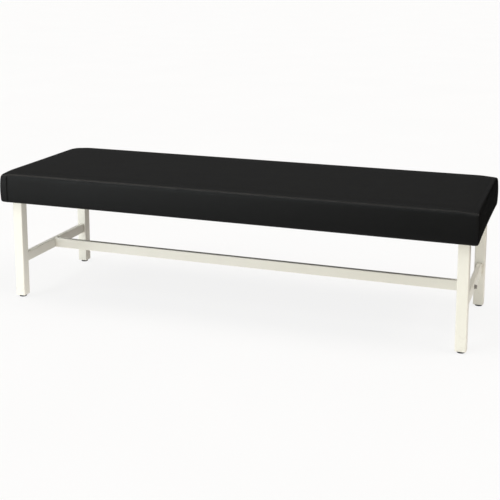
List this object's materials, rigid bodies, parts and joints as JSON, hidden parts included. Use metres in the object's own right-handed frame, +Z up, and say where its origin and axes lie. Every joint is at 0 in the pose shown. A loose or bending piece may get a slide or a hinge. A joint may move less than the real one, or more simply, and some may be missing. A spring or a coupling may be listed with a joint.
{
  "type": "examination table",
  "caption": "Upholstered examination couch: a black vinyl box cushion on square ivory steel legs joined by a low H-shaped stretcher, on screw-in levelling feet.",
  "frame": {"origin": "on the floor under the middle of the couch", "axes": "+X along the couch, +Y from its front long side to its rear one, +Z up"},
  "size_m": [1.8, 0.6, 0.5],
  "materials": {
    "vinyl": "satin, fine pebble grain",
    "foam": "open-cell foam",
    "plywood": "bare",
    "timber": "sawn, bare",
    "dust_cloth": "thin felted cloth",
    "frame_paint": "ivory powder coat, semi-gloss",
    "zinc_steel": "zinc plated",
    "plug_plastic": "moulded",
    "foot_plastic": "moulded"
  },
  "bodies": {
    "table": {"vinyl_cover": "vinyl", "foam_pad": "foam", "deck_board": "plywood", "side_timber_front": "timber", "side_timber_rear": "timber", "end_timber_left": "timber", "end_timber_right": "timber", "cross_timber_left": "timber", "cross_timber_middle": "timber", "cross_timber_right": "timber", "bearer_left": "timber", "bearer_right": "timber", "dust_cloth": "dust_cloth", "leg_front_left": "frame_paint", "leg_rear_left": "frame_paint", "leg_front_right": "frame_paint", "leg_rear_right": "frame_paint", "end_rail_left": "frame_paint", "end_rail_right": "frame_paint", "stretcher": "frame_paint", "top_bar_left": "frame_paint", "top_bar_right": "frame_paint", "rail_bush_left": "zinc_steel", "rail_bush_right": "zinc_steel", "nut_plate_left": "zinc_steel", "nut_plate_right": "zinc_steel", "timber_screws": "zinc_steel", "tee_nuts": "zinc_steel", "cushion_bolts": "zinc_steel", "cushion_spring_washers": "zinc_steel", "cushion_washers": "zinc_steel", "stretcher_bolts": "zinc_steel", "stretcher_spring_washers": "zinc_steel", "stretcher_washers": "zinc_steel", "foot_nuts": "zinc_steel", "foot_plug_front_left": "plug_plastic", "foot_plug_rear_left": "plug_plastic", "foot_plug_front_right": "plug_plastic", "foot_plug_rear_right": "plug_plastic"},
    "stud_front_left": {"foot_stud_front_left": "zinc_steel"},
    "foot_front_left": {"foot_front_left": "foot_plastic"},
    "stud_rear_left": {"foot_stud_rear_left": "zinc_steel"},
    "foot_rear_left": {"foot_rear_left": "foot_plastic"},
    "stud_front_right": {"foot_stud_front_right": "zinc_steel"},
    "foot_front_right": {"foot_front_right": "foot_plastic"},
    "stud_rear_right": {"foot_stud_rear_right": "zinc_steel"},
    "foot_rear_right": {"foot_rear_right": "foot_plastic"}
  },
  "joints": [
    {"name": "foot_lift_front_left", "type": "slide", "parent": "table", "child": "stud_front_left", "axis": [0, 0, -1], "range_m": [0, 0.01]},
    {"name": "foot_turn_front_left", "type": "hinge", "parent": "stud_front_left", "child": "foot_front_left", "pos_m": [-0.846, -0.244, 0], "axis": [0, 0, -1], "range_deg": [0, 2880]},
    {"name": "foot_lift_rear_left", "type": "slide", "parent": "table", "child": "stud_rear_left", "axis": [0, 0, -1], "range_m": [0, 0.01]},
    {"name": "foot_turn_rear_left", "type": "hinge", "parent": "stud_rear_left", "child": "foot_rear_left", "pos_m": [-0.846, 0.244, 0], "axis": [0, 0, -1], "range_deg": [0, 2880]},
    {"name": "foot_lift_front_right", "type": "slide", "parent": "table", "child": "stud_front_right", "axis": [0, 0, -1], "range_m": [0, 0.01]},
    {"name": "foot_turn_front_right", "type": "hinge", "parent": "stud_front_right", "child": "foot_front_right", "pos_m": [0.846, -0.244, 0], "axis": [0, 0, -1], "range_deg": [0, 2880]},
    {"name": "foot_lift_rear_right", "type": "slide", "parent": "table", "child": "stud_rear_right", "axis": [0, 0, -1], "range_m": [0, 0.01]},
    {"name": "foot_turn_rear_right", "type": "hinge", "parent": "stud_rear_right", "child": "foot_rear_right", "pos_m": [0.846, 0.244, 0], "axis": [0, 0, -1], "range_deg": [0, 2880]}
  ],
  "couplings": [
    {"joint": "foot_lift_front_left", "follows": "foot_turn_front_left", "m_per_rad": 0.00019894},
    {"joint": "foot_lift_rear_left", "follows": "foot_turn_rear_left", "m_per_rad": 0.00019894},
    {"joint": "foot_lift_front_right", "follows": "foot_turn_front_right", "m_per_rad": 0.00019894},
    {"joint": "foot_lift_rear_right", "follows": "foot_turn_rear_right", "m_per_rad": 0.00019894}
  ]
}
